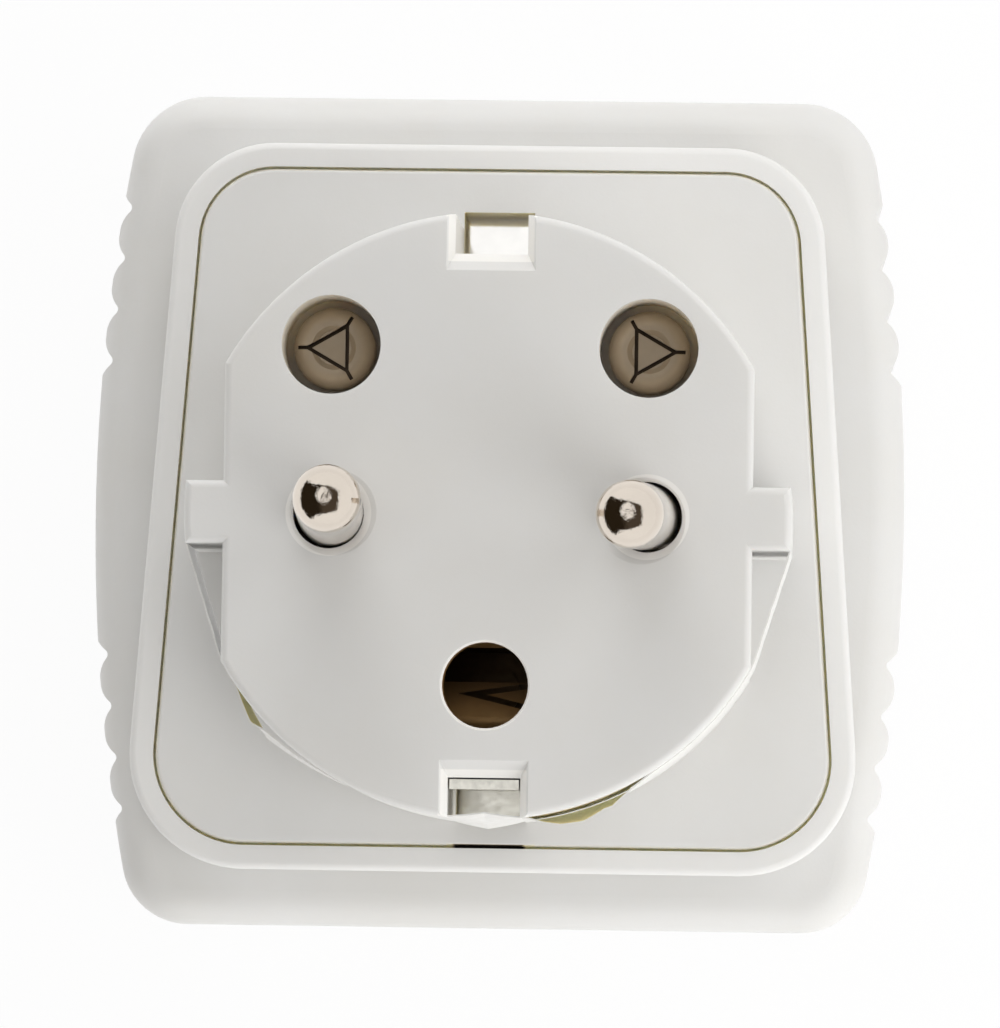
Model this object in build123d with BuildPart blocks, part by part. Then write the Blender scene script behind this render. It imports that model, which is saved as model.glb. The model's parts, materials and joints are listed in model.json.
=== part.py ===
from build123d import *
from math import cos, radians, sin, sqrt, tan
import os

# A travel adapter, plug side up: the socket face lies on Z = 0 and the pins point along +Z.
# X runs across the two pins and Y from the earth hole to the screws. Sizes are in millimetres.

# Body: a square sleeve with bowed sides, closed at the top by a ledge
body_width = 51.4
body_length = 52.7
side_bow_radius = 125.0
body_corner_screw_end = 4.8
body_corner_earth_end = 4.2
body_wall = 2.6
ledge_height = 24.0
ledge_wall = 2.0
ledge_edge_radius = 2.2
mouth_edge_radius = 1.0

# Grip scallops: two groups of rounded ridges down each bowed side
grip_start = 9.3
grip_pitch = 3.25
grip_count = 3
grip_depth = 0.9
grip_valley_radius = 0.35
grip_shoulder = 0.9
grip_shoulder_bulge = 0.12

# Rim and panel: a rounded trapezoid that stands on the ledge, narrower towards the screws
rim_height = 6.0
rim_wall = 1.5
rim_edge_radius = 0.45
panel_gap = 0.15
panel_thickness = 2.2
panel_edge_radius = 0.25
shelf_width = 1.2
ledge_end_width = 3.6
ledge_side_width_screw_end = 5.65
ledge_side_width_earth_end = 2.6
panel_corner_screw_end = 4.6
panel_corner_earth_end = 5.55

# Plug: a drafted round body with flat sides, side ribs and two earth notches
plug_y = -1.1
plug_height = 16.0
plug_radius = 18.35
plug_draft = 1.0
plug_edge_radius = 0.45
plug_wall = 1.8
front_wall = 3.0
flat_half_width = 16.0
rib_width = 3.8
notch_width = 4.4
notch_depth = 2.51
notch_side_bevel = 0.5
notch_floor_bevel = 1.05
notch_bevel_depth = 0.8
notch_wall = 1.6
upper_slot_length = 3.76
lower_slot_length = 2.56
chute_wall = 0.8
chute_depth = 3.3

# Pins: round, a little closer together at their tips, and each tipped a little along Y
pin_radius = 2.0
pin_neck_radius = 1.84
pin_neck_rise = 0.2
pin_spacing = 19.0
pin_length = 19.0
pin_lean = 2.3
line_pin_nod = 0.4
neutral_pin_nod = -1.8
pin_tip_radius = 1.7
pin_clearance = 0.14
pin_hole_shift = 0.11
pin_hole_dish = 0.45
pin_hole_dish_angle = 70.0
pin_flange_radius = 3.2
pin_flange_thickness = 1.2
pin_tail_radius = 1.5
pin_rivet_radius = 2.3
pin_rivet_height = 0.8
pin_rivet_taper = 20.0
tower_radius = 4.5

# Earth hole in the plug face, below the pins
earth_hole_radius = 2.6
earth_hole_to_notch = 5.57
earth_hole_bevel = 0.12

# Security screws and the bosses that they draw together
screw_spacing = 19.2
screw_rise = 10.2
screw_bore_radius = 3.0
screw_bore_depth = 6.0
screw_head_radius = 2.5
screw_head_height = 2.6
screw_head_rounding = 0.9
screw_radius = 1.5
screw_length = 28.0
screw_hole_clearance = 0.2
screw_thread_clearance = 0.05
screw_recess_side = 3.15
screw_recess_corners = 3
screw_recess_depth = 0.35
screw_groove_width = 0.23
screw_groove_depth = 0.5
screw_groove_overrun = 0.38
screw_dimple_radius = 1.35
screw_dimple_depth = 0.3
boss_radius = 4.3
boss_foot_radius = 3.75
boss_drop = 10.0
boss_pilot_spare = 2.0

# Socket face: a plate in the mouth of the sleeve
face_thickness = 2.4
face_lip = 1.0
face_gap = 0.15
face_edge_radius = 0.3
live_row_y = -10.0
wide_slot_x = 11.1
wide_slot_width = 7.0
wide_slot_height = 4.6
round_hole_x = 9.5
round_hole_radius = 2.6
flat_slot_x = 6.35
flat_slot_width = 2.0
flat_slot_height = 7.2
earth_slot_rise = 22.2
earth_slot_width = 4.6
earth_slot_height = 8.6
earth_round_rise = 11.9
chamber_wall = 1.0
chamber_room = 0.4

# Sprung contacts, bent from sheet
sheet = 0.8
leaf = 0.6
leaf_end = 5.0
leaf_spread = 2.6
leaf_pinch = 2.0
leaf_mouth = 2.7
leaf_bend_height = 16.0
leaf_pinch_height = 9.0
live_leaf_inner_x = 7.6
live_leaf_outer_x = 14.2
live_tab_width = 3.0
web_bearing = 0.5
part_clearance = 0.1

# Earth pieces
bridge_width = 5.0
upper_clip_tip_drop = 12.5
lower_clip_tip_drop = 1.4
foot_overlap = 2.2
foot_margin = 0.4
rivet_radius = 1.0
rivet_head_radius = 1.6
rivet_head_height = 0.6
rivet_clearance = 0.05
socket_rivet_y = 3.0
post_radius = 2.0
cup_half_width = 3.1
cup_half_length = 3.0
cup_leaf_drop = 2.8
cup_leaf_fall = 1.0
cup_leaf_end = 0.2
cup_fold_radius = 0.6
slit_apex = (-0.95, -0.43)
slit_upper_end = (2.55, 0.11)
slit_lower_end = (2.55, -1.26)
slit_width = 0.34

# Levels along Z
panel_top = ledge_height + rim_height
panel_under = panel_top - panel_thickness
plug_top = panel_top + plug_height
cavity_top = plug_top - front_wall
screw_seat = plug_top - screw_bore_depth
boss_meet = panel_top - boss_drop
web_top = panel_under - pin_flange_thickness
web_under = web_top - sheet
foot_top = panel_under - chute_depth
foot_under = foot_top - sheet
bridge_top = foot_top + sheet
cup_floor = bridge_top + leaf

# Widths of the panel at its two ends, worked out from the ledge that is left round the rim
rim_growth = panel_gap + rim_wall
panel_length = body_length - 2 * (ledge_end_width + rim_growth)
panel_width_screw_end = body_width - 2 * (ledge_side_width_screw_end + rim_growth)
panel_width_earth_end = body_width - 2 * (ledge_side_width_earth_end + rim_growth)

# Places in the plan
notch_floor = plug_radius - notch_depth
slot_width = notch_width
clip_width = slot_width - 2 * part_clearance
upper_slot_reach = notch_floor + upper_slot_length
lower_slot_reach = notch_floor + lower_slot_length
earth_hole_y = plug_y - notch_floor + earth_hole_to_notch
screw_places = [(side * screw_spacing / 2, plug_y + screw_rise) for side in (-1, 1)]
plug_base_radius = plug_radius + plug_height * tan(radians(plug_draft))
notch_reach = plug_base_radius + notch_floor_bevel
pin_hole_dish_depth = pin_hole_dish / tan(radians(pin_hole_dish_angle))
tower_height = cavity_top - panel_under
pin_root_depth = plug_top - panel_under
pin_root_x = pin_spacing / 2 + pin_root_depth * tan(radians(pin_lean))
tower_x = pin_root_x - tower_height / 2 * tan(radians(pin_lean))
earth_round_y = live_row_y + earth_round_rise
earth_slot_y = live_row_y + earth_slot_rise
mouth_wall = body_wall - face_lip
chute_relief_width = slot_width + 2 * (chute_wall + part_clearance)
pins = ((-1, "line", line_pin_nod), (1, "neutral", neutral_pin_nod))

# Chambers round the socket contacts: low and high X, low and high Y of the room inside
live_room_x = (flat_slot_x - flat_slot_width / 2 - chamber_room, live_leaf_outer_x + chamber_room)
live_room_half_y = flat_slot_height / 2 + chamber_room
live_room_y = (live_row_y - live_room_half_y, live_row_y + live_room_half_y)
earth_room_x = (-leaf_mouth - chamber_room, leaf_mouth + chamber_room)
earth_room_y = (earth_round_y - round_hole_radius - chamber_room, earth_slot_y + earth_slot_height / 2)


def bowed_half_width(y):
    """Half the width of the body at a distance along Y from its middle."""
    return body_width / 2 - side_bow_radius + sqrt(side_bow_radius**2 - y**2)


def body_outline(growth=0.0):
    """Square with bowed sides and rounded corners, grown or shrunk all round."""
    half_length = body_length / 2
    half_end = bowed_half_width(half_length)
    with BuildLine() as outline:
        Line((-half_end, half_length), (half_end, half_length))
        ThreePointArc((half_end, half_length), (body_width / 2, 0), (half_end, -half_length))
        Line((half_end, -half_length), (-half_end, -half_length))
        ThreePointArc((-half_end, -half_length), (-body_width / 2, 0), (-half_end, half_length))
    make_face(outline.edges())
    fillet(vertices().group_by(Axis.Y)[-1], body_corner_screw_end)
    fillet(vertices().group_by(Axis.Y)[0], body_corner_earth_end)
    if growth:
        offset(amount=growth)


def panel_outline(growth=0.0):
    """Rounded trapezoid of the panel, grown or shrunk all round."""
    half_length = panel_length / 2
    half_screw_end = panel_width_screw_end / 2
    half_earth_end = panel_width_earth_end / 2
    with BuildLine() as outline:
        Polyline(
            (-half_screw_end, half_length),
            (half_screw_end, half_length),
            (half_earth_end, -half_length),
            (-half_earth_end, -half_length),
            close=True,
        )
    make_face(outline.edges())
    fillet(vertices().group_by(Axis.Y)[-1], panel_corner_screw_end)
    fillet(vertices().group_by(Axis.Y)[0], panel_corner_earth_end)
    if growth:
        offset(amount=growth)


def grip_scallops():
    """The material outside the ridges: one group, then its mirror images on both sides."""
    valleys = [grip_start + grip_pitch * i for i in range(grip_count + 1)]
    outside = body_width / 2 + grip_depth
    start = valleys[0] - grip_shoulder
    end = valleys[-1] + grip_shoulder

    def ridge_point(y, depth=0.0):
        return (bowed_half_width(y) - depth, y)

    def shoulder(first, second):
        middle_x = (first[0] + second[0]) / 2 + grip_shoulder_bulge
        ThreePointArc(first, (middle_x, (first[1] + second[1]) / 2), second)

    with BuildLine() as outline:
        shoulder(ridge_point(start), ridge_point(valleys[0], grip_depth))
        for low, high in zip(valleys, valleys[1:]):
            ThreePointArc(
                ridge_point(low, grip_depth),
                ridge_point((low + high) / 2),
                ridge_point(high, grip_depth),
            )
        shoulder(ridge_point(valleys[-1], grip_depth), ridge_point(end))
        Polyline(ridge_point(end), (outside, end), (outside, start), ridge_point(start))
    make_face(outline.edges())
    fillet(vertices().filter_by(lambda corner: start < corner.Y < end), grip_valley_radius)
    mirror(about=Plane.XZ)
    mirror(about=Plane.YZ)


def area(low_x, high_x, low_y, high_y, mode=Mode.ADD):
    """Rectangle given by its edges."""
    with Locations(((low_x + high_x) / 2, (low_y + high_y) / 2)):
        Rectangle(high_x - low_x, high_y - low_y, mode=mode)


def radial_area(end, width, inner, outer, mode=Mode.ADD):
    """Rectangle on the plug's Y axis, between two distances from the middle of the plug."""
    low, high = sorted((plug_y + end * inner, plug_y + end * outer))
    area(-width / 2, width / 2, low, high, mode)


def strip(path, thickness):
    """Section of a bent strip that follows (across, up) points, with its thickness across."""
    far_side = [(across + thickness / 2, up) for across, up in path]
    near_side = [(across - thickness / 2, up) for across, up in reversed(path)]
    with BuildLine() as outline:
        Polyline(*far_side, *near_side, close=True)
    make_face(outline.edges())


def leaf_path(middle, side, top):
    """A contact leaf that hangs from a top level, pinches in and opens again at its end."""
    stations = [
        (leaf_spread, top),
        (leaf_spread, leaf_bend_height),
        (leaf_pinch, leaf_pinch_height),
        (leaf_mouth, leaf_end),
    ]
    return [(middle + side * across, up) for across, up in stations]


def pin_root_y(nod):
    """Y of a pin at its root, for a pin that is tipped along Y about its place in the plug face."""
    return plug_y - pin_root_depth * tan(radians(nod))


def pin_plane(side, nod, outward=0.0):
    """Plane square to a leaning pin, where its middle line crosses the plug face, or further out."""
    along = (-side * tan(radians(pin_lean)), tan(radians(nod)), 1)
    return Plane(origin=(side * (pin_spacing / 2 + outward), plug_y, plug_top), z_dir=along)


def finish(piece, name):
    """Names a finished piece and writes it to its own file."""
    piece.part.label = name
    export_step(piece.part, f"parts/{name}.step")


os.makedirs("parts", exist_ok=True)

# Housing: sleeve, ledge and rim in one moulding
with BuildPart() as housing:
    with BuildSketch():
        body_outline()
    extrude(amount=ledge_height)
    fillet(faces().sort_by(Axis.Z)[-1].edges(), ledge_edge_radius)
    fillet(faces().sort_by(Axis.Z)[0].edges(), mouth_edge_radius)
    with BuildSketch():
        grip_scallops()
    extrude(amount=ledge_height, mode=Mode.SUBTRACT)
    with BuildSketch(Plane.XY.offset(ledge_height / 2)):
        panel_outline(rim_growth)
    extrude(amount=panel_top - ledge_height / 2)
    fillet(faces().sort_by(Axis.Z)[-1].edges(), rim_edge_radius)
    with BuildSketch():
        body_outline(-body_wall)
    extrude(amount=ledge_height - ledge_wall, mode=Mode.SUBTRACT)
    with BuildSketch():
        body_outline(-mouth_wall)
    extrude(amount=face_thickness, mode=Mode.SUBTRACT)
    with BuildSketch():
        panel_outline(-shelf_width)
    extrude(amount=panel_under, mode=Mode.SUBTRACT)
    with BuildSketch(Plane.XY.offset(panel_under)):
        panel_outline(panel_gap)
    extrude(amount=panel_thickness, mode=Mode.SUBTRACT)
    with BuildSketch(Plane.XY.offset(ledge_height - ledge_wall)):
        radial_area(1, chute_relief_width, 0, upper_slot_reach + chute_wall + part_clearance)
        radial_area(-1, chute_relief_width, 0, lower_slot_reach + part_clearance)
    extrude(amount=panel_top - ledge_height + ledge_wall, mode=Mode.SUBTRACT)
finish(housing, "housing")

# Socket face: plate with apertures, a walled chamber for each contact, screw bosses and an earth post
with BuildPart() as socket_face:
    with BuildSketch():
        body_outline(-mouth_wall - face_gap)
    extrude(amount=face_thickness)
    fillet(faces().sort_by(Axis.Z)[0].edges(), face_edge_radius)
    with BuildSketch(Plane.XY.offset(face_thickness)):
        area(
            live_room_x[0] - chamber_wall,
            live_room_x[1] + chamber_wall,
            live_room_y[0] - chamber_wall,
            live_room_y[1] + chamber_wall,
        )
        area(*live_room_x, *live_room_y, mode=Mode.SUBTRACT)
        mirror(about=Plane.YZ)
    extrude(amount=web_under - face_thickness)
    with BuildSketch(Plane.XY.offset(face_thickness)):
        area(
            earth_room_x[0] - chamber_wall,
            earth_room_x[1] + chamber_wall,
            earth_room_y[0] - chamber_wall,
            earth_room_y[1] + chamber_wall,
        )
        area(*earth_room_x, *earth_room_y, mode=Mode.SUBTRACT)
        with Locations((0, plug_y - notch_floor)):
            Circle(post_radius)
    extrude(amount=foot_under - face_thickness)
    with BuildSketch(Plane.XY.offset(face_thickness)):
        with Locations(*screw_places):
            Circle(boss_foot_radius)
    extrude(amount=boss_meet - face_thickness)
    with BuildSketch(Plane.XY.offset(boss_meet)):
        with Locations(*screw_places):
            Circle(screw_radius + screw_thread_clearance)
    extrude(amount=-(boss_meet - screw_seat + screw_length + boss_pilot_spare), mode=Mode.SUBTRACT)
    with BuildSketch():
        with Locations((wide_slot_x, live_row_y)):
            Rectangle(wide_slot_width, wide_slot_height)
        with Locations((round_hole_x, live_row_y)):
            Circle(round_hole_radius)
        with Locations((flat_slot_x, live_row_y)):
            Rectangle(flat_slot_width, flat_slot_height)
        mirror(about=Plane.YZ)
        with Locations((0, earth_round_y)):
            Circle(round_hole_radius)
        with Locations((0, earth_slot_y)):
            Rectangle(earth_slot_width, earth_slot_height)
    extrude(amount=face_thickness, mode=Mode.SUBTRACT)
finish(socket_face, "socket_face")

# Plug base: the panel, the hollow plug, pin towers, screw bosses and chutes for the earth clips
with BuildPart() as plug_base:
    with BuildSketch(Plane.XY.offset(panel_under)):
        panel_outline()
    extrude(amount=panel_thickness)
    fillet(faces().sort_by(Axis.Z)[-1].edges(), panel_edge_radius)
    with BuildSketch(Plane.XY.offset(panel_top)):
        with Locations((0, plug_y)):
            Circle(plug_base_radius)
    extrude(amount=plug_height, taper=plug_draft)
    with BuildSketch(Plane.XY.offset(panel_top)):
        area(flat_half_width, plug_base_radius, plug_y + rib_width / 2, plug_y + plug_base_radius)
        area(flat_half_width, plug_base_radius, plug_y - plug_base_radius, plug_y - rib_width / 2)
        mirror(about=Plane.YZ)
    extrude(amount=plug_height, mode=Mode.SUBTRACT)
    fillet(faces().sort_by(Axis.Z)[-1].edges(), plug_edge_radius)
    with BuildSketch(Plane.XY.offset(panel_top)):
        for end in (-1, 1):
            radial_area(end, notch_width, notch_floor, notch_reach)
    extrude(amount=plug_height, mode=Mode.SUBTRACT)
    bevel_width = notch_width + 2 * notch_side_bevel
    for end in (-1, 1):
        with BuildSketch(Plane.XY.offset(plug_top - notch_bevel_depth)):
            radial_area(end, notch_width, notch_floor, notch_reach)
        with BuildSketch(Plane.XY.offset(plug_top)):
            radial_area(end, bevel_width, notch_floor - notch_floor_bevel, notch_reach)
        loft(ruled=True, mode=Mode.SUBTRACT)
    with BuildSketch(Plane.XY.offset(panel_under)):
        with Locations((0, plug_y)):
            Circle(plug_radius - plug_wall)
            Rectangle(2 * (flat_half_width - plug_wall), 2 * plug_radius, mode=Mode.INTERSECT)
        pillar_width = notch_width + 2 * notch_wall
        for end in (-1, 1):
            radial_area(end, pillar_width, notch_floor - notch_wall, plug_radius, Mode.SUBTRACT)
        with Locations((-tower_x, plug_y), (tower_x, plug_y)):
            Circle(tower_radius, mode=Mode.SUBTRACT)
        with Locations(*screw_places):
            Circle(boss_radius, mode=Mode.SUBTRACT)
    extrude(amount=tower_height, mode=Mode.SUBTRACT)
    with BuildSketch(Plane.XY.offset(boss_meet)):
        with Locations(*screw_places):
            Circle(boss_foot_radius)
    extrude(amount=panel_under - boss_meet)
    with BuildSketch(Plane.XY.offset(foot_top)):
        radial_area(1, slot_width + 2 * chute_wall, notch_floor - notch_wall, upper_slot_reach + chute_wall)
        radial_area(-1, slot_width + 2 * chute_wall, notch_floor - notch_wall, lower_slot_reach)
    extrude(amount=chute_depth)
    with BuildSketch(Plane.XY.offset(foot_top)):
        radial_area(1, slot_width, notch_floor, upper_slot_reach)
        radial_area(-1, slot_width, notch_floor, lower_slot_reach)
    extrude(amount=panel_top - foot_top, mode=Mode.SUBTRACT)
    with BuildSketch(Plane.XY.offset(screw_seat)):
        with Locations(*screw_places):
            Circle(screw_bore_radius)
    extrude(amount=screw_bore_depth, mode=Mode.SUBTRACT)
    with BuildSketch(Plane.XY.offset(boss_meet)):
        with Locations(*screw_places):
            Circle(screw_radius + screw_hole_clearance)
    extrude(amount=screw_seat - boss_meet, mode=Mode.SUBTRACT)
    for side, name, nod in pins:
        hole_plane = pin_plane(side, nod, pin_hole_shift)
        with BuildSketch(hole_plane):
            Circle(pin_radius + pin_clearance)
        extrude(amount=plug_top, both=True, mode=Mode.SUBTRACT)
        with BuildSketch(hole_plane.offset(pin_hole_dish_depth)):
            Circle(pin_radius + pin_clearance + 2 * pin_hole_dish)
        extrude(amount=-3 * pin_hole_dish_depth, taper=pin_hole_dish_angle, mode=Mode.SUBTRACT)
    with BuildSketch(Plane.XY.offset(cavity_top)):
        with Locations((0, earth_hole_y)):
            Circle(earth_hole_radius)
    extrude(amount=front_wall, mode=Mode.SUBTRACT)
    with BuildSketch(Plane.XY.offset(plug_top)):
        with Locations((0, earth_hole_y)):
            Circle(earth_hole_radius + earth_hole_bevel)
    extrude(amount=-earth_hole_bevel, taper=45, mode=Mode.SUBTRACT)
finish(plug_base, "plug_base")

# Pins: a leaning round shank on a thinner neck and an upright flange, with a tail riveted under the contact
for side, name, nod in pins:
    root = (side * pin_root_x, pin_root_y(nod))
    with BuildPart() as pin:
        with BuildSketch(pin_plane(side, nod).offset(pin_neck_rise)):
            Circle(pin_radius)
        extrude(amount=pin_length - pin_neck_rise)
        fillet(edges().group_by(Axis.Z)[-1], pin_tip_radius)
        with BuildSketch(pin_plane(side, nod).offset(pin_neck_rise)):
            Circle(pin_neck_radius)
        extrude(amount=-pin_neck_rise - pin_root_depth - pin_flange_thickness / 2)
        with BuildSketch(Plane.XY.offset(web_top)):
            with Locations(root):
                Circle(pin_flange_radius)
        extrude(amount=pin_flange_thickness)
        with BuildSketch(Plane.XY.offset(web_under)):
            with Locations(root):
                Circle(pin_tail_radius)
        extrude(amount=sheet)
        with BuildSketch(Plane.XY.offset(web_under)):
            with Locations(root):
                Circle(pin_rivet_radius)
        extrude(amount=-pin_rivet_height, taper=pin_rivet_taper)
    finish(pin, f"{name}_pin")

# Live contacts: a web across the chamber, a tab up to the pin, and leaves that hang into the chamber
web_low_x = live_room_x[0] - web_bearing
web_high_x = live_room_x[1] + web_bearing
leaf_outer_y = leaf_spread + leaf / 2
for side, name, nod in pins:
    with BuildPart() as contact:
        with BuildSketch(Plane.XY.offset(web_under)):
            area(web_low_x, web_high_x, live_row_y - leaf_outer_y, live_row_y + leaf_outer_y)
            area(live_leaf_outer_x - live_tab_width, live_leaf_outer_x, live_row_y, plug_y)
            with Locations((pin_root_x, pin_root_y(nod))):
                Circle(pin_flange_radius)
                Circle(pin_tail_radius + rivet_clearance, mode=Mode.SUBTRACT)
        extrude(amount=sheet)
        with BuildSketch(Plane.YZ.offset(live_leaf_inner_x)):
            strip(leaf_path(live_row_y, -1, web_top), leaf)
        extrude(amount=live_leaf_outer_x - live_leaf_inner_x)
        with BuildSketch(Plane.YZ.offset(live_leaf_inner_x)):
            strip(leaf_path(live_row_y, 1, web_top), leaf)
        extrude(amount=live_leaf_outer_x - live_tab_width - live_leaf_inner_x)
        with BuildSketch(Plane.XZ.offset(-live_row_y)):
            end_x = flat_slot_x - flat_slot_width / 2
            strip([(end_x, web_top), (end_x, leaf_bend_height), (end_x + leaf, leaf_end)], leaf)
        extrude(amount=leaf_pinch, both=True)
        if side < 0:
            mirror(about=Plane.YZ, mode=Mode.REPLACE)
    finish(contact, f"{name}_contact")

# Earth bridge: a flat strip under the plug, along the line of the earth pieces
bridge_reach = notch_floor - notch_wall - part_clearance
clip_rivet_y = plug_y + bridge_reach - foot_overlap
rivet_places = [(0, earth_hole_y), (0, socket_rivet_y), (0, clip_rivet_y)]
with BuildPart() as earth_bridge:
    with BuildSketch(Plane.XY.offset(foot_top)):
        area(-bridge_width / 2, bridge_width / 2, plug_y - bridge_reach, plug_y + bridge_reach)
        with Locations(*rivet_places):
            Circle(rivet_radius + rivet_clearance, mode=Mode.SUBTRACT)
    extrude(amount=sheet)
finish(earth_bridge, "earth_bridge")

# Earth clips: an upright strip at the floor of each notch, on a foot that closes the chute under the bridge
foot_width = slot_width + 2 * foot_margin
for end, name, foot_reach, tip_drop, rivet_y in (
    (1, "upper_earth_clip", upper_slot_reach + foot_margin, upper_clip_tip_drop, clip_rivet_y),
    (-1, "lower_earth_clip", lower_slot_reach, lower_clip_tip_drop, earth_hole_y),
):
    with BuildPart() as clip:
        with BuildSketch(Plane.XY.offset(foot_under)):
            foot_end = end * (rivet_y - plug_y) - foot_overlap
            radial_area(end, foot_width, foot_end, foot_reach)
            with Locations((0, rivet_y)):
                Circle(rivet_radius + rivet_clearance, mode=Mode.SUBTRACT)
        extrude(amount=sheet)
        with BuildSketch(Plane.XY.offset(foot_top)):
            strip_inner = notch_floor + part_clearance
            radial_area(end, clip_width, strip_inner, strip_inner + leaf)
        extrude(amount=plug_top - tip_drop - foot_top)
    finish(clip, name)

# Earth socket contact: a base under the bridge and two long leaves for a round or a flat earth pin
socket_leaf_low_y = earth_round_y - round_hole_radius
socket_leaf_high_y = earth_room_y[1] - chamber_room
socket_base_high_y = clip_rivet_y - foot_overlap - chamber_room
with BuildPart() as earth_socket_contact:
    with BuildSketch(Plane.XY.offset(foot_under)):
        area(-leaf_outer_y, leaf_outer_y, earth_room_y[0] - web_bearing, socket_base_high_y)
        with Locations((0, socket_rivet_y)):
            Circle(rivet_radius + rivet_clearance, mode=Mode.SUBTRACT)
    extrude(amount=sheet)
    for side in (-1, 1):
        with BuildSketch(Plane.XZ.offset(-socket_leaf_low_y)):
            strip(leaf_path(0, side, foot_top), leaf)
        extrude(amount=-(socket_base_high_y - socket_leaf_low_y))
        with BuildSketch(Plane.XZ.offset(-socket_base_high_y)):
            strip(leaf_path(0, side, foot_under - rivet_head_height - chamber_room), leaf)
        extrude(amount=-(socket_leaf_high_y - socket_base_high_y))
finish(earth_socket_contact, "earth_socket_contact")

# Earth-pin contact: a U of sheet on the bridge, with a slit leaf folded down under the earth hole
with BuildPart() as earth_pin_contact:
    with BuildSketch(Plane.YZ):
        area(earth_hole_y - cup_half_length, earth_hole_y + cup_half_length, bridge_top, cup_floor)
        fold_top = cavity_top - cup_leaf_drop
        front_y = earth_hole_y - cup_half_length + leaf / 2
        back_y = earth_hole_y + cup_half_length - leaf / 2
        area(back_y - leaf / 2, back_y + leaf / 2, bridge_top, fold_top)
        with BuildLine() as fold:
            leaf_tip = (earth_hole_y + cup_leaf_end, fold_top - cup_leaf_fall)
            FilletPolyline((front_y, bridge_top), (front_y, fold_top), leaf_tip, radius=cup_fold_radius)
        trace(fold.line, leaf)
    extrude(amount=cup_half_width, both=True)
    with BuildSketch(Plane.XY.offset(cup_floor + leaf)):
        with BuildLine() as slit:
            Polyline(*[(x, earth_hole_y + y) for x, y in (slit_upper_end, slit_apex, slit_lower_end)])
        trace(slit.line, slit_width)
    extrude(amount=fold_top - cup_floor - leaf, mode=Mode.SUBTRACT)
    with BuildSketch(Plane.XY.offset(bridge_top)):
        with Locations((0, earth_hole_y)):
            Circle(rivet_radius + rivet_clearance)
    extrude(amount=leaf, mode=Mode.SUBTRACT)
finish(earth_pin_contact, "earth_pin_contact")

# Earth rivets: one through the earth-pin contact, one through the socket contact, one through the upper clip
with BuildPart() as earth_rivets:
    for place, top in zip(rivet_places, (cup_floor, bridge_top, bridge_top)):
        with BuildSketch(Plane.XY.offset(foot_under - rivet_head_height)):
            with Locations(place):
                Circle(rivet_head_radius)
        extrude(amount=rivet_head_height)
        with BuildSketch(Plane.XY.offset(foot_under)):
            with Locations(place):
                Circle(rivet_radius)
        extrude(amount=top - foot_under)
        with BuildSketch(Plane.XY.offset(top)):
            with Locations(place):
                Circle(rivet_head_radius)
        extrude(amount=rivet_head_height)
finish(earth_rivets, "earth_rivets")

# Security screws: a domed head with a dimpled three-sided recess, grooved along its sides, and a plain shank
with BuildPart() as security_screws:
    half_corner = radians(180 / screw_recess_corners)
    screw_recess_reach = screw_recess_side / 2 / sin(half_corner)
    screw_land_reach = screw_recess_reach - screw_groove_width / cos(half_corner)
    for turn, place in zip((180, 0), screw_places):
        with BuildSketch(Plane.XY.offset(screw_seat)):
            with Locations(place):
                Circle(screw_head_radius)
        head = extrude(amount=screw_head_height)
        fillet(head.edges().group_by(Axis.Z)[-1], screw_head_rounding)
        with BuildSketch(Plane.XY.offset(screw_seat)):
            with Locations(place):
                Circle(screw_radius)
        extrude(amount=-screw_length)
        with BuildSketch(Plane.XY.offset(screw_seat + screw_head_height)):
            with Locations(place):
                Circle(screw_dimple_radius)
        extrude(amount=-screw_dimple_depth, taper=45, mode=Mode.SUBTRACT)
        with BuildSketch(Plane.XY.offset(screw_seat + screw_head_height)):
            with Locations(place):
                RegularPolygon(screw_recess_reach, screw_recess_corners, rotation=turn)
        extrude(amount=-screw_recess_depth, mode=Mode.SUBTRACT)
        with BuildSketch(Plane.XY.offset(screw_seat + screw_head_height)):
            with Locations(place):
                RegularPolygon(screw_recess_reach, screw_recess_corners, rotation=turn)
                RegularPolygon(screw_land_reach, screw_recess_corners, rotation=turn, mode=Mode.SUBTRACT)
                with PolarLocations(screw_recess_reach, screw_recess_corners, start_angle=turn):
                    Rectangle(2 * screw_groove_overrun, screw_groove_width)
        extrude(amount=-screw_recess_depth - screw_groove_depth, mode=Mode.SUBTRACT)
finish(security_screws, "security_screws")
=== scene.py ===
import bmesh
import bpy
import json
from math import cos, radians, sin, tan
from mathutils import Matrix, Vector


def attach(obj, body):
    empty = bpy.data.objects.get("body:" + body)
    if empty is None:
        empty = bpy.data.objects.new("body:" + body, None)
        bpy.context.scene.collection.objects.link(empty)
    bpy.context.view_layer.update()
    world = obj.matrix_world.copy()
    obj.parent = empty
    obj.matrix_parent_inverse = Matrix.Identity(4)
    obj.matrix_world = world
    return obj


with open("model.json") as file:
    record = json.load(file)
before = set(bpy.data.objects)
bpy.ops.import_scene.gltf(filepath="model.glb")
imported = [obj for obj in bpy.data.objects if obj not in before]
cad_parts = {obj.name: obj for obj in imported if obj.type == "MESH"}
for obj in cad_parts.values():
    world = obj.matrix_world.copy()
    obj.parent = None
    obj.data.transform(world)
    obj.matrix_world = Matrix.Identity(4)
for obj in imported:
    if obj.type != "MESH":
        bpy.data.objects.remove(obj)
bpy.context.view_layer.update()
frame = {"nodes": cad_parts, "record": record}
MM = 0.001

# Camera: almost straight down on the plug face, from the lower right
IMAGE_HEIGHT_PX = 1028
FOCAL_PX = 7470
SENSOR_HEIGHT = 36.0
CAMERA_PLACE = Vector((14.1, -19.7, 496.0)) * MM
CAMERA_TARGET = Vector((0.76, -1.03, 46.0)) * MM
CAMERA_ROLL = radians(0.85)

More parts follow.
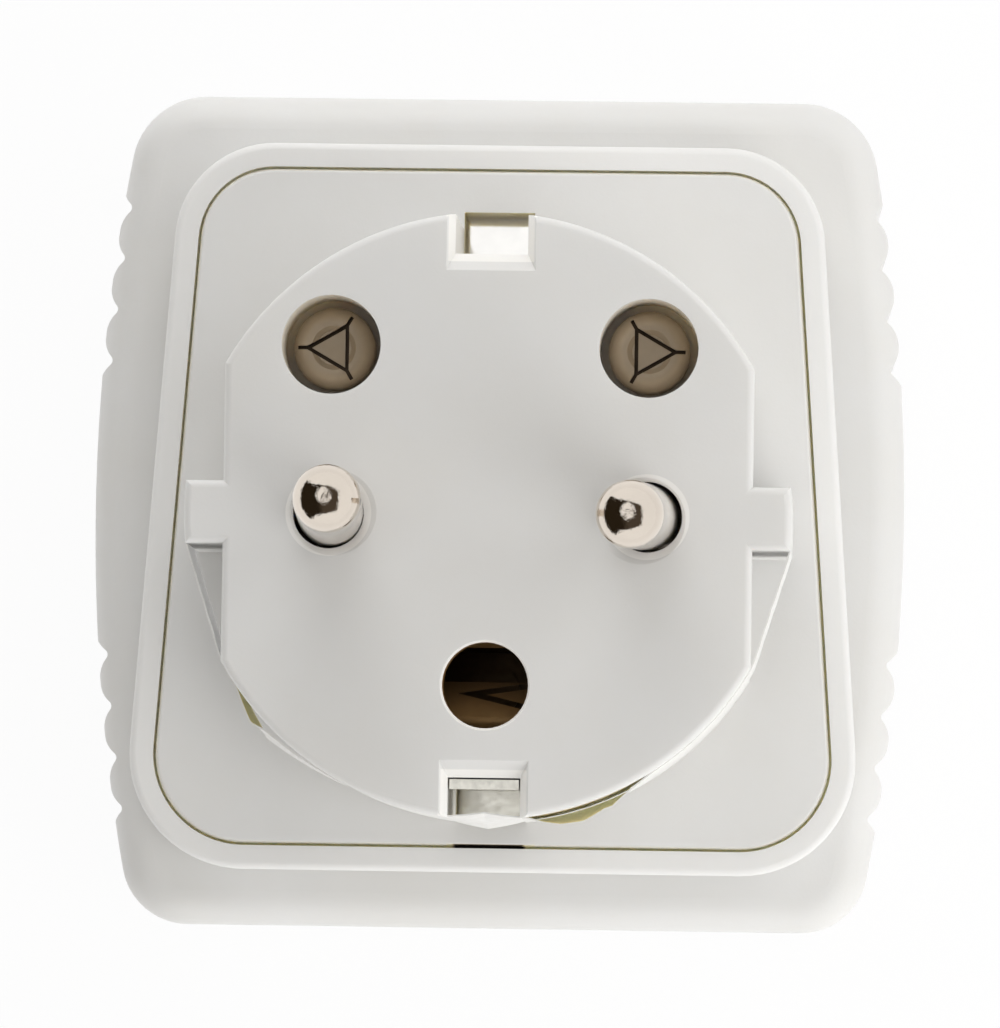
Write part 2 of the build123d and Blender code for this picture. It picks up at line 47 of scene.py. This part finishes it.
# The plug: two places from the frame's mounts, and sizes that match the solids
mounts = {mount["name"]: mount for mount in frame["record"]["mounts"]}
PLUG_MIDDLE = Vector(mounts["plug_body"]["pos_m"])
EARTH_HOLE = Vector(mounts["earth_hole"]["pos_m"])
PLUG_TOP = PLUG_MIDDLE.z
PLUG_RADIUS = 18.35 * MM
PLUG_DRAFT = radians(1.0)
PANEL_TOP = PLUG_TOP - 16.0 * MM
SHELF_DROP = 2.2 * MM

# Places on the plug with a look of their own: most of them carry painted light or shade, and the pin nick is
# a real mark
NOTCH_HALF_WIDTH = 2.8 * MM
NOTCH_START = 15.3 * MM
NOTCH_END = 19.3 * MM
SLOT_END = 20.4 * MM
CLIP_GAP_LEFT = -2.5 * MM
CLIP_GAP_RIGHT = 2.2 * MM
CLIP_GAP_Y = -20.6 * MM
SCREW_X = 9.6 * MM
SCREW_Y = PLUG_MIDDLE.y + 10.2 * MM
SCREW_BORE_RADIUS = 3.1 * MM
SCREW_RECESS_RADIUS = 2.25 * MM
SCREW_GROOVE_TOP = PLUG_TOP - 3.76 * MM
EARTH_HOLE_RADIUS = 2.68 * MM
EARTH_RING_INNER = 2.55 * MM
EARTH_RING_OUTER = 2.76 * MM
LEAF_DARK_TOP = PLUG_TOP - 5.8 * MM
PIN_X = 9.61 * MM
PIN_DISH_RADIUS = 2.62 * MM
PIN_TIP = 62.4 * MM
PIN_NICK = Vector((-6.9, -1.15, 63.4)) * MM
PIN_NICK_RADIUS = 0.3 * MM

# Blank label: a thin band of paper round the lower half of the plug, lifted in places
LABEL_TOP_DROP = 1.5 * MM
LABEL_HEIGHT = 9.0 * MM
LABEL_TOP = PLUG_TOP - LABEL_TOP_DROP
LABEL_FOOT = LABEL_TOP - LABEL_HEIGHT
LABEL_THICKNESS = 0.1 * MM
LABEL_LIFT = 0.04 * MM
LABEL_COLUMNS = 336
LABEL_ROWS = 16
LEFT_POCKET = (-57.0, -36.0)
RIGHT_POCKET = (7.0, 33.0)
# Stations: degrees round from -Y, then how far the top edge and the foot stand out, in millimetres
LABEL_STATIONS = (
    (-84.0, -0.1, -0.1),
    (-78.0, -0.38, -0.38),
    (-72.5, -0.47, -0.47),
    (-67.0, -0.38, -0.38),
    (-61.0, -0.1, -0.1),
    (-54.6, 0.0, 0.0),
    (-48.2, 0.6, 0.4),
    (-45.4, 0.25, 0.62),
    (-42.0, 0.14, 0.45),
    (-38.0, 0.05, 0.28),
    (-33.0, -0.05, 0.1),
    (-27.0, -0.1, -0.1),
    (-7.0, -0.16, -0.1),
    (0.0, -0.53, 0.25),
    (7.0, -0.16, -0.1),
    (9.1, 0.05, 0.0),
    (11.0, 0.35, 0.0),
    (14.0, 0.7, 0.0),
    (18.25, 0.89, 0.0),
    (22.6, 0.6, 0.0),
    (24.0, 0.63, 0.0),
    (25.5, 0.45, 0.0),
    (28.6, 0.13, 0.0),
    (31.6, 0.0, -0.05),
    (34.0, -0.1, -0.1),
    (61.0, -0.1, -0.1),
    (67.0, -0.38, -0.38),
    (72.5, -0.47, -0.47),
    (78.0, -0.38, -0.38),
    (84.0, -0.1, -0.1),
)

# Colours
WHITE = (1, 1, 1, 1)
FLOOR_WHITE = (0.95, 0.95, 0.95, 1)
ROOM = (1.0, 0.982, 0.952, 1)
ROOM_DIM_LEFT = (0.022, 0.015, 0.008, 1)
ROOM_DIM_RIGHT = (0.075, 0.058, 0.042, 1)
SHELL = (0.79, 0.787, 0.775, 1)
SHELL_WARM = (0.775, 0.768, 0.748, 1)
# Painted highlight: a brighter plastic tone for the ring round the earth hole, the dishes round the pin
# holes and the notches
PAINTED_HIGHLIGHT_SHELL = (0.95, 0.935, 0.90, 1)
# Painted light: the rim's top is the same plastic, painted paler as if more lit
PAINTED_LIGHT_RIM = (0.835, 0.83, 0.815, 1)
PAPER = (0.86, 0.855, 0.835, 1)
PAPER_DIM = (0.80, 0.79, 0.76, 1)
# Painted glow: golden light on the label's inner side where it is lifted
PAINTED_GLOW_PAPER = (1.0, 0.77, 0.37, 1)
# Painted glow: golden light in the slots and on the flank behind the lifted label
PAINTED_GOLDEN_GLOW = (1.0, 0.85, 0.56, 1)
# Painted glow: cream light in the gaps under the panel, on the rim's inner wall and on the shelf
PAINTED_CREAM_GLOW = (0.98, 0.90, 0.77, 1)
# Painted shade: near black in the gap by the lower clip
PAINTED_GAP_SHADE = (0.03, 0.022, 0.012, 1)
# Painted light: a pale warm tone that stands in for warm light on the screw bore walls
PAINTED_BORE_LIGHT = (0.90, 0.85, 0.77, 1)
# Painted glow: near white on the walls inside the pin holes
PAINTED_HOLE_GLOW = (1.0, 0.985, 0.96, 1)
# Painted shade: dark brown on the walls of the earth hole
PAINTED_HOLE_SHADE = (0.34, 0.20, 0.08, 1)
PIN_NICKEL = (0.76, 0.685, 0.60, 1)
CLIP_NICKEL = (1.0, 0.985, 0.955, 1)
# Painted shade: the same nickel as the upper clip, painted greyer for the lower clip
PAINTED_SHADE_NICKEL = (0.89, 0.87, 0.79, 1)
BRASS = (0.60, 0.40, 0.17, 1)
TARNISHED_BRASS = (0.50, 0.31, 0.12, 1)
# Painted shade: darker brass deep in the earth hole
PAINTED_SHADE_BRASS = (0.20, 0.12, 0.05, 1)
SCREW_STEEL = (0.50, 0.415, 0.31, 1)
# Painted shade: dark brown in the grooves of the screw recesses
PAINTED_GROOVE_SHADE = (0.07, 0.045, 0.025, 1)
NICK_BROWN = (0.10, 0.06, 0.03, 1)

# Light, in metres and watts
WORLD_LIGHT = 0.44
FLOOR_REACH = 3.0
FLOOR_SEEN_WHITE = 0.93
LAMP_TARGET = Vector((0, 0, 0.03))
LAMP_SIZE = 0.12
LAMPS = (
    ("right_low_light", (0.11, -0.08, 0.10), 0.096),
    ("right_top_light", (0.12, 0.06, 0.10), 0.038),
    ("top_light", (-0.01, 0.14, 0.10), 0.10),
    ("low_light", (0.0, -0.16, 0.06), 0.058),
    ("left_light", (-0.14, 0.0, 0.10), 0.020),
)

# What polished metal mirrors, by the direction: a dim opening with slanted sides and a bright pane in it
OPENING_RIGHT = 0.54
OPENING_TOP = 0.50
OPENING_TOP_SLANT = 0.278
OPENING_LOW = -0.71
OPENING_LOW_SLANT = 0.24
PANE_MIDDLE = (-0.13, 0.15)
PANE_REACH = (0.20, 0.26)


def add_camera():
    data = bpy.data.cameras.new("camera")
    data.sensor_fit = "VERTICAL"
    data.sensor_height = SENSOR_HEIGHT
    data.lens = SENSOR_HEIGHT * FOCAL_PX / IMAGE_HEIGHT_PX
    data.clip_start = 0.01
    data.clip_end = 20
    camera = bpy.data.objects.new("camera", data)
    bpy.context.scene.collection.objects.link(camera)
    forward = (CAMERA_TARGET - CAMERA_PLACE).normalized()
    right = forward.cross(Vector((-sin(CAMERA_ROLL), cos(CAMERA_ROLL), 0))).normalized()
    up = right.cross(forward)
    turn = Matrix((right, up, -forward)).transposed().to_4x4()
    camera.matrix_world = Matrix.Translation(CAMERA_PLACE) @ turn
    bpy.context.scene.camera = camera


class Nodes:
    """A node tree, with short calls for the nodes that are used here."""

    def __init__(self, tree, place):
        self.tree = tree
        self.coordinates = self.add("ShaderNodeTexCoord").outputs
        self.place = self.coordinates[place]

    def add(self, kind, **values):
        node = self.tree.nodes.new(kind)
        for key, value in values.items():
            setattr(node, key, value)
        return node

    def link(self, value, socket):
        if isinstance(value, bpy.types.NodeSocket):
            self.tree.links.new(value, socket)
        else:
            socket.default_value = value

    def math(self, operation, first, second=0.0, clamp=False):
        node = self.add("ShaderNodeMath", operation=operation, use_clamp=clamp)
        self.link(first, node.inputs[0])
        self.link(second, node.inputs[1])
        return node.outputs[0]

    def vector(self, operation, first, second, output=0):
        node = self.add("ShaderNodeVectorMath", operation=operation)
        self.link(first, node.inputs[0])
        self.link(second, node.inputs[1])
        return node.outputs[output]

    def both(self, *masks):
        result = masks[0]
        for mask in masks[1:]:
            result = self.math("MULTIPLY", result, mask)
        return result

    def either(self, *masks):
        result = masks[0]
        for mask in masks[1:]:
            result = self.math("MAXIMUM", result, mask)
        return result

    def noise(self, scale, detail=3.0, roughness=0.55, stretch=(1, 1, 1)):
        mapping = self.add("ShaderNodeMapping")
        mapping.inputs["Scale"].default_value = stretch
        self.link(self.place, mapping.inputs["Vector"])
        node = self.add("ShaderNodeTexNoise")
        self.link(mapping.outputs["Vector"], node.inputs["Vector"])
        node.inputs["Scale"].default_value = scale
        node.inputs["Detail"].default_value = detail
        node.inputs["Roughness"].default_value = roughness
        return node.outputs["Fac"]

    def ramp(self, value, low, high, low_out=0.0, high_out=1.0):
        node = self.add("ShaderNodeMapRange", interpolation_type="SMOOTHSTEP")
        for socket, number in zip(node.inputs, (value, low, high, low_out, high_out)):
            self.link(number, socket)
        return node.outputs[0]

    def under(self, value, limit, edge):
        return self.ramp(value, limit - edge, limit, 1.0, 0.0)

    def over(self, value, limit, edge):
        return self.ramp(value, limit, limit + edge)

    def between(self, value, low, high, edge):
        return self.both(self.over(value, low, edge), self.under(value, high, edge))

    def mix(self, share, first, second):
        node = self.add("ShaderNodeMix", data_type="RGBA")
        self.link(share, node.inputs[0])
        self.link(first, node.inputs[6])
        self.link(second, node.inputs[7])
        return node.outputs[2]

    def axes(self):
        node = self.add("ShaderNodeSeparateXYZ")
        self.link(self.place, node.inputs[0])
        return node.outputs

    def distance(self, first, second):
        squares = [self.math("POWER", side, 2.0) for side in (first, second)]
        return self.math("SQRT", self.math("ADD", *squares))

    def to_pair(self, pair_x, pair_y):
        """Distance from the nearer of two upright lines, one on each side of the middle."""
        x, y = self.axes()[:2]
        aside = self.math("SUBTRACT", self.math("ABSOLUTE", x), pair_x)
        return self.distance(aside, self.math("SUBTRACT", y, pair_y))

    def upward(self):
        """How far a surface faces up: 1 straight up, -1 straight down."""
        return self.vector("DOT_PRODUCT", self.coordinates["Normal"], (0, 0, 1), output=1)

    def outward(self):
        """How far a surface faces away from the plug's axis: 1 straight out, -1 straight in."""
        flat = self.vector("MULTIPLY", self.place, (1, 1, 0))
        spoke = self.vector("NORMALIZE", flat, (0, 0, 0))
        return self.vector("DOT_PRODUCT", self.coordinates["Normal"], spoke, output=1)

    def seen(self, path):
        """1 for rays from the eye, also by way of a mirror or glass."""
        mirrored = self.math("ADD", path["Is Camera Ray"], path["Is Glossy Ray"])
        return self.math("ADD", mirrored, path["Is Transmission Ray"], clamp=True)


class Surface(Nodes):
    """The node tree of a new material."""

    def __init__(self, name):
        self.material = bpy.data.materials.new(name)
        self.material.use_nodes = True
        super().__init__(self.material.node_tree, "Object")
        self.shader = self.tree.nodes["Principled BSDF"]

    def set(self, **sockets):
        for key, value in sockets.items():
            self.link(value, self.shader.inputs[key.replace("_", " ")])

    def bump(self, *layers):
        normal = None
        for height, strength, distance in layers:
            node = self.add("ShaderNodeBump")
            node.inputs["Distance"].default_value = distance
            self.link(strength, node.inputs["Strength"])
            self.link(height, node.inputs["Height"])
            if normal is not None:
                self.link(normal, node.inputs["Normal"])
            normal = node.outputs["Normal"]
        self.link(normal, self.shader.inputs["Normal"])


def shell_plastic(name, seep_and_painted_light=None):
    """Off-white satin plastic: a soft mottle, a fine moulded grain, light that seeps into its gaps, and,
    where given, painted light and shade in its gaps and holes.
    """
    nodes = Surface(name)
    mottle = nodes.noise(90, 4)
    gloss = nodes.noise(600, 3)
    waves = nodes.noise(260, 3)
    grain = nodes.noise(5200, 2)
    colour = nodes.mix(nodes.ramp(mottle, 0.3, 0.7), SHELL_WARM, SHELL)
    seep = 0.2
    depth = 1.4 * MM
    if seep_and_painted_light is not None:
        glow, painted_tints = seep_and_painted_light(nodes)
        for mask, tint in painted_tints:
            colour = nodes.mix(mask, colour, tint)
        seep = nodes.ramp(glow, 0.0, 1.0, seep, 1.0)
        depth = nodes.ramp(glow, 0.0, 1.0, depth, 2.4 * MM)
    nodes.set(
        Base_Color=colour,
        Roughness=nodes.ramp(gloss, 0.3, 0.7, 0.36, 0.46),
        Subsurface_Weight=seep,
        Subsurface_Radius=(1.0, 0.95, 0.88),
        Subsurface_Scale=depth,
        IOR=1.46,
    )
    nodes.bump((waves, 0.10, 0.4 * MM), (grain, 0.16, 0.03 * MM))
    return nodes.material


def pockets(nodes):
    """Where the label stands away from the plug, by the angle round the plug's axis."""
    x, y = nodes.axes()[:2]
    toward = nodes.math("SUBTRACT", PLUG_MIDDLE.y, y)
    angle = nodes.math("DEGREES", nodes.math("ARCTAN2", x, toward))
    return nodes.either(nodes.between(angle, *LEFT_POCKET, 2.0), nodes.between(angle, *RIGHT_POCKET, 2.0))


def plug_seep_and_painted_light(nodes):
    """Light that shows through at gaps and holes, with painted light and shade there: cream and golden glow
    painted under the panel, in the slots and behind the lifted label, painted highlights on the earth ring,
    the pin dishes and the notches, painted glow in the pin holes and the screw bores, and painted shade in
    the gap by the lower clip and in the earth hole.
    """
    x, y, z = nodes.axes()
    below = nodes.under(z, PANEL_TOP - 0.02 * MM, 0.06 * MM)

    # Notches, the slots under them and the gap by the lower one, which is painted dark as shade
    from_middle = nodes.math("ABSOLUTE", nodes.math("SUBTRACT", y, PLUG_MIDDLE.y))
    across = nodes.under(nodes.math("ABSOLUTE", x), NOTCH_HALF_WIDTH, 0.1 * MM)
    notch = nodes.both(
        across,
        nodes.between(from_middle, NOTCH_START, NOTCH_END, 0.1 * MM),
        nodes.between(z, PANEL_TOP + 0.05 * MM, PLUG_TOP - 0.05 * MM, 0.2 * MM),
    )
    slot = nodes.both(across, nodes.between(from_middle, NOTCH_START, SLOT_END, 0.1 * MM), below)
    clip_gap = nodes.both(
        nodes.between(x, CLIP_GAP_LEFT, CLIP_GAP_RIGHT, 0.3 * MM),
        nodes.under(y, CLIP_GAP_Y, 0.2 * MM),
        below,
    )

    # Flank behind the lifted label, painted with a golden glow
    behind = nodes.both(
        pockets(nodes),
        nodes.over(nodes.outward(), 0.8, 0.15),
        nodes.between(z, LABEL_FOOT + 0.3 * MM, LABEL_TOP, 0.3 * MM),
    )

    # Screw bores, earth hole and pin holes, with painted light and painted shade
    bore = nodes.both(
        nodes.under(nodes.to_pair(SCREW_X, SCREW_Y), SCREW_BORE_RADIUS, 0.05 * MM),
        nodes.under(z, PLUG_TOP - 0.05 * MM, 0.3 * MM),
    )
    to_earth = nodes.distance(x, nodes.math("SUBTRACT", y, EARTH_HOLE.y))
    earth_hole = nodes.both(
        nodes.under(to_earth, EARTH_HOLE_RADIUS, 0.04 * MM),
        nodes.under(z, PLUG_TOP - 0.15 * MM, 0.3 * MM),
    )
    earth_ring = nodes.both(
        nodes.between(to_earth, EARTH_RING_INNER, EARTH_RING_OUTER, 0.04 * MM),
        nodes.over(z, PLUG_TOP - 0.2 * MM, 0.05 * MM),
    )
    dish = nodes.under(nodes.to_pair(PIN_X, PLUG_MIDDLE.y), PIN_DISH_RADIUS, 0.06 * MM)
    pin_hole = nodes.both(dish, nodes.under(z, PLUG_TOP - 0.3 * MM, 0.1 * MM))

    seep = nodes.either(
        below,
        behind,
        pin_hole,
        nodes.math("MULTIPLY", bore, 0.5),
        nodes.math("MULTIPLY", nodes.either(dish, notch), 0.2),
    )
    painted_tints = (
        # painted cream glow in the gaps under the panel top
        (below, PAINTED_CREAM_GLOW),
        # painted highlight on the earth ring, the pin dishes and the notches
        (nodes.either(earth_ring, dish, notch), PAINTED_HIGHLIGHT_SHELL),
        # painted glow inside the pin holes
        (pin_hole, PAINTED_HOLE_GLOW),
        # painted golden glow in the slots and behind the lifted label
        (nodes.either(slot, behind), PAINTED_GOLDEN_GLOW),
        # painted shade in the gap by the lower clip
        (clip_gap, PAINTED_GAP_SHADE),
        # painted warm light on the screw bore walls
        (bore, PAINTED_BORE_LIGHT),
        # painted shade on the earth hole's walls
        (earth_hole, PAINTED_HOLE_SHADE),
    )
    return seep, painted_tints


def housing_seep_and_painted_light(nodes):
    """A rim painted paler as painted light, cream glow painted inside it and on the shelf under the panel,
    and painted shade behind the lower clip; light also seeps in at the wall and the shelf.
    """
    x, y, z = nodes.axes()
    wall = nodes.both(
        nodes.under(nodes.outward(), -0.55, 0.2),
        nodes.over(z, PANEL_TOP - 3.0 * MM, 0.1 * MM),
    )
    shelf_height = PANEL_TOP - SHELF_DROP
    shelf = nodes.both(
        nodes.over(nodes.upward(), 0.6, 0.2),
        nodes.between(z, shelf_height - 0.4 * MM, shelf_height + 0.6 * MM, 0.1 * MM),
    )
    glow = nodes.either(wall, shelf)
    clip_gap = nodes.both(
        nodes.between(x, CLIP_GAP_LEFT, CLIP_GAP_RIGHT, 0.3 * MM),
        nodes.under(y, 0.0, MM),
        glow,
    )
    # the rim's top, painted paler as painted light
    rim = nodes.over(z, PANEL_TOP - 0.6 * MM, 0.3 * MM)
    # cream glow painted on the rim's inner wall and the shelf, and painted shade behind the lower clip
    return glow, ((rim, PAINTED_LIGHT_RIM), (glow, PAINTED_CREAM_GLOW), (clip_gap, PAINTED_GAP_SHADE))


def plated(name, colour, roughness, metallic=1.0, brushing=(1, 1, 1), mark_or_painted_shade=None, chatter=None):
    """Metal with faint blotches in its tone and fine streaks in its gloss and relief, and an optional mark:
    a real nick, or painted shade in a hollow.
    """
    nodes = Surface(name)
    blotch = nodes.noise(420, 4)
    streak = nodes.noise(2600, 3, stretch=brushing)
    darker = tuple(0.95 * value for value in colour[:3]) + (1,)
    tone = nodes.mix(nodes.ramp(blotch, 0.3, 0.7), darker, colour)
    if mark_or_painted_shade is not None:
        mask, tint = mark_or_painted_shade(nodes)
        tone = nodes.mix(mask, tone, tint)
    nodes.set(
        Base_Color=tone,
        Metallic=metallic,
        Roughness=nodes.ramp(streak, 0.25, 0.75, roughness * 0.8, roughness * 1.25),
    )
    relief = [(streak, 0.08, 0.01 * MM)]
    if chatter is not None:
        relief.append((nodes.noise(3200, 4), chatter(nodes), 0.03 * MM))
    nodes.bump(*relief)
    return nodes.material


def pin_nick(nodes):
    """A small brown nick near the tip of one pin."""
    away = nodes.vector("DISTANCE", nodes.place, PIN_NICK, output=1)
    return nodes.under(away, PIN_NICK_RADIUS, 0.12 * MM), NICK_BROWN


def tip_chatter(nodes):
    """Fine turning marks on the rounded tips."""
    return nodes.ramp(nodes.axes()[2], PIN_TIP, PIN_TIP + MM, 0.0, 0.6)


def leaf_painted_shade(nodes):
    """Painted shade: darker with depth in the earth hole."""
    return nodes.under(nodes.axes()[2], LEAF_DARK_TOP, 0.8 * MM), PAINTED_SHADE_BRASS


def screw_groove_shade(nodes):
    """Painted shade in the grooves of the recess."""
    recess = nodes.under(nodes.to_pair(SCREW_X, SCREW_Y), SCREW_RECESS_RADIUS, 0.02 * MM)
    deep = nodes.under(nodes.axes()[2], SCREW_GROOVE_TOP, 0.06 * MM)
    return nodes.both(recess, deep), PAINTED_GROOVE_SHADE


def dress(material, *names):
    for name in names:
        slots = frame["nodes"][name].data.materials
        slots.clear()
        slots.append(material)


def dress_frame():
    dress(shell_plastic("housing_plastic", housing_seep_and_painted_light), "housing")
    dress(shell_plastic("socket_plastic"), "socket_face")
    dress(shell_plastic("plug_plastic", plug_seep_and_painted_light), "plug_base")
    pin_metal = plated(
        "pin_nickel",
        PIN_NICKEL,
        0.08,
        brushing=(1, 1, 0.08),
        mark_or_painted_shade=pin_nick,
        chatter=tip_chatter,
    )
    dress(pin_metal, "line_pin", "neutral_pin")
    dress(plated("clip_nickel", CLIP_NICKEL, 0.06), "upper_earth_clip")
    # the lower clip: the same nickel, painted greyer as shade
    dress(plated("painted_shade_clip_nickel", PAINTED_SHADE_NICKEL, 0.16), "lower_earth_clip")
    contact_metal = plated("contact_brass", BRASS, 0.30, brushing=(0.1, 1, 1))
    dress(contact_metal, "line_contact", "neutral_contact", "earth_socket_contact", "earth_bridge")
    # the leaf's brass is darkened with depth as painted shade
    leaf_metal = plated("tarnished_brass_and_painted_shade", TARNISHED_BRASS, 0.45, metallic=0.4, mark_or_painted_shade=leaf_painted_shade)
    dress(leaf_metal, "earth_pin_contact", "earth_rivets")
    # the screw recess grooves are darkened as painted shade
    screw_metal = plated("screw_steel", SCREW_STEEL, 0.42, metallic=0.5, mark_or_painted_shade=screw_groove_shade)
    dress(screw_metal, "security_screws")


def label_offset(angle, share):
    """How far the label stands out, at an angle in degrees and a share of its height from the top."""
    for (start, top_start, foot_start), (end, top_end, foot_end) in zip(LABEL_STATIONS, LABEL_STATIONS[1:]):
        if angle <= end:
            break
    way = (angle - start) / (end - start)
    top = top_start + way * (top_end - top_start)
    foot = foot_start + way * (foot_end - foot_start)
    return (top + share * (foot - top)) * MM


def label_skin(mesh, thickness):
    """One side of the label, as rows of points from its top edge down."""
    first_angle = LABEL_STATIONS[0][0]
    sweep = LABEL_STATIONS[-1][0] - first_angle
    rows = []
    for row in range(LABEL_ROWS + 1):
        share = row / LABEL_ROWS
        drop = LABEL_TOP_DROP + share * LABEL_HEIGHT
        flank = PLUG_RADIUS + drop * tan(PLUG_DRAFT) + LABEL_LIFT
        line = []
        for column in range(LABEL_COLUMNS + 1):
            angle = first_angle + sweep * column / LABEL_COLUMNS
            radius = flank + label_offset(angle, share) + thickness
            turn = radians(angle)
            point = (radius * sin(turn), PLUG_MIDDLE.y - radius * cos(turn), PLUG_TOP - drop)
            line.append(mesh.verts.new(point))
        rows.append(line)
    return rows


def face_strip(mesh, first, second):
    """Faces between two lines of points."""
    for corner in range(len(first) - 1):
        mesh.faces.new((first[corner], first[corner + 1], second[corner + 1], second[corner]))


def label_band():
    mesh = bmesh.new()
    inner = label_skin(mesh, 0.0)
    outer = label_skin(mesh, LABEL_THICKNESS)
    for skin in (inner, outer):
        for upper_line, lower_line in zip(skin, skin[1:]):
            face_strip(mesh, upper_line, lower_line)
    for end in (0, -1):
        face_strip(mesh, inner[end], outer[end])
        face_strip(mesh, [line[end] for line in inner], [line[end] for line in outer])
    bmesh.ops.recalc_face_normals(mesh, faces=mesh.faces)
    data = bpy.data.meshes.new("label_band")
    mesh.to_mesh(data)
    mesh.free()
    band = bpy.data.objects.new("label_band", data)
    bpy.context.scene.collection.objects.link(band)
    data.materials.append(label_paper())
    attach(band, "root")


def label_paper():
    """Blank white paper with faint fibres. Light seeps into its inner side, and a golden glow is painted
    there where it is lifted.
    """
    nodes = Surface("label_paper")
    fibre = nodes.noise(1800, 4)
    paper = nodes.mix(nodes.ramp(fibre, 0.3, 0.7), PAPER_DIM, PAPER)
    inside = nodes.under(nodes.outward(), -0.3, 0.2)
    lifted = nodes.both(pockets(nodes), inside)
    nodes.set(
        Base_Color=nodes.mix(lifted, paper, PAINTED_GLOW_PAPER),
        Roughness=0.5,
        Subsurface_Weight=inside,
        Subsurface_Radius=(1.0, 1.0, 1.0),
        Subsurface_Scale=nodes.ramp(lifted, 0.0, 1.0, 1.5 * MM, 0.6 * MM),
    )
    nodes.bump((fibre, 0.15, 0.02 * MM))
    return nodes.material


def add_lamp(name, place, power):
    """A round lamp that points at the plug and stays out of reflections."""
    data = bpy.data.lights.new(name, "AREA")
    data.shape = "DISK"
    data.size = LAMP_SIZE
    data.energy = power
    lamp = bpy.data.objects.new(name, data)
    bpy.context.scene.collection.objects.link(lamp)
    lamp.location = place
    lamp.rotation_euler = (LAMP_TARGET - Vector(place)).to_track_quat("-Z", "Y").to_euler()
    lamp.visible_glossy = False
    lamp.visible_camera = False


def add_world():
    """Soft even light, and the white room, dim opening and bright pane that polished metal mirrors."""
    world = bpy.data.worlds.new("world")
    bpy.context.scene.world = world
    world.use_nodes = True
    nodes = Nodes(world.node_tree, "Generated")
    x, y, z = nodes.axes()
    path = nodes.add("ShaderNodeLightPath").outputs
    to_top = nodes.math("ADD", y, nodes.math("MULTIPLY", x, OPENING_TOP_SLANT))
    to_low = nodes.math("SUBTRACT", y, nodes.math("MULTIPLY", x, OPENING_LOW_SLANT))
    opening = nodes.both(
        nodes.under(x, OPENING_RIGHT, 0.08),
        nodes.under(to_top, OPENING_TOP, 0.07),
        nodes.over(to_low, OPENING_LOW, 0.07),
        nodes.over(z, -0.02, 0.04),
        path["Is Glossy Ray"],
    )
    pane_x = nodes.math("DIVIDE", nodes.math("SUBTRACT", x, PANE_MIDDLE[0]), PANE_REACH[0])
    pane_y = nodes.math("DIVIDE", nodes.math("SUBTRACT", y, PANE_MIDDLE[1]), PANE_REACH[1])
    opening = nodes.both(opening, nodes.over(nodes.distance(pane_x, pane_y), 0.85, 0.15))
    dim = nodes.mix(nodes.ramp(x, -0.3, -0.05), ROOM_DIM_LEFT, ROOM_DIM_RIGHT)
    seen = nodes.seen(path)
    room = nodes.mix(seen, ROOM, WHITE)
    background = world.node_tree.nodes["Background"]
    nodes.link(nodes.mix(opening, room, dim), background.inputs["Color"])
    nodes.link(nodes.ramp(seen, 0.0, 1.0, WORLD_LIGHT, 1.0), background.inputs["Strength"])


def add_floor():
    """White floor: white to the eye and in reflections, and it keeps a soft shadow."""
    reach = FLOOR_REACH
    corners = [(-reach, -reach, 0), (reach, -reach, 0), (reach, reach, 0), (-reach, reach, 0)]
    mesh = bpy.data.meshes.new("floor")
    mesh.from_pydata(corners, [], [(0, 1, 2, 3)])
    floor = bpy.data.objects.new("floor", mesh)
    bpy.context.scene.collection.objects.link(floor)
    nodes = Surface("floor_white")
    nodes.set(Base_Color=FLOOR_WHITE, Roughness=0.9)
    seen = nodes.seen(nodes.add("ShaderNodeLightPath").outputs)
    white = nodes.add("ShaderNodeEmission")
    white.inputs["Color"].default_value = WHITE
    white.inputs["Strength"].default_value = 1.0
    blend = nodes.add("ShaderNodeMixShader")
    nodes.link(nodes.math("MULTIPLY", seen, FLOOR_SEEN_WHITE), blend.inputs[0])
    nodes.link(nodes.shader.outputs[0], blend.inputs[1])
    nodes.link(white.outputs[0], blend.inputs[2])
    nodes.link(blend.outputs[0], nodes.tree.nodes["Material Output"].inputs["Surface"])
    mesh.materials.append(nodes.material)


add_camera()
dress_frame()
label_band()
for lamp_name, lamp_place, lamp_power in LAMPS:
    add_lamp(lamp_name, lamp_place, lamp_power)
add_world()
add_floor()

bpy.context.scene.view_settings.view_transform = "Standard"
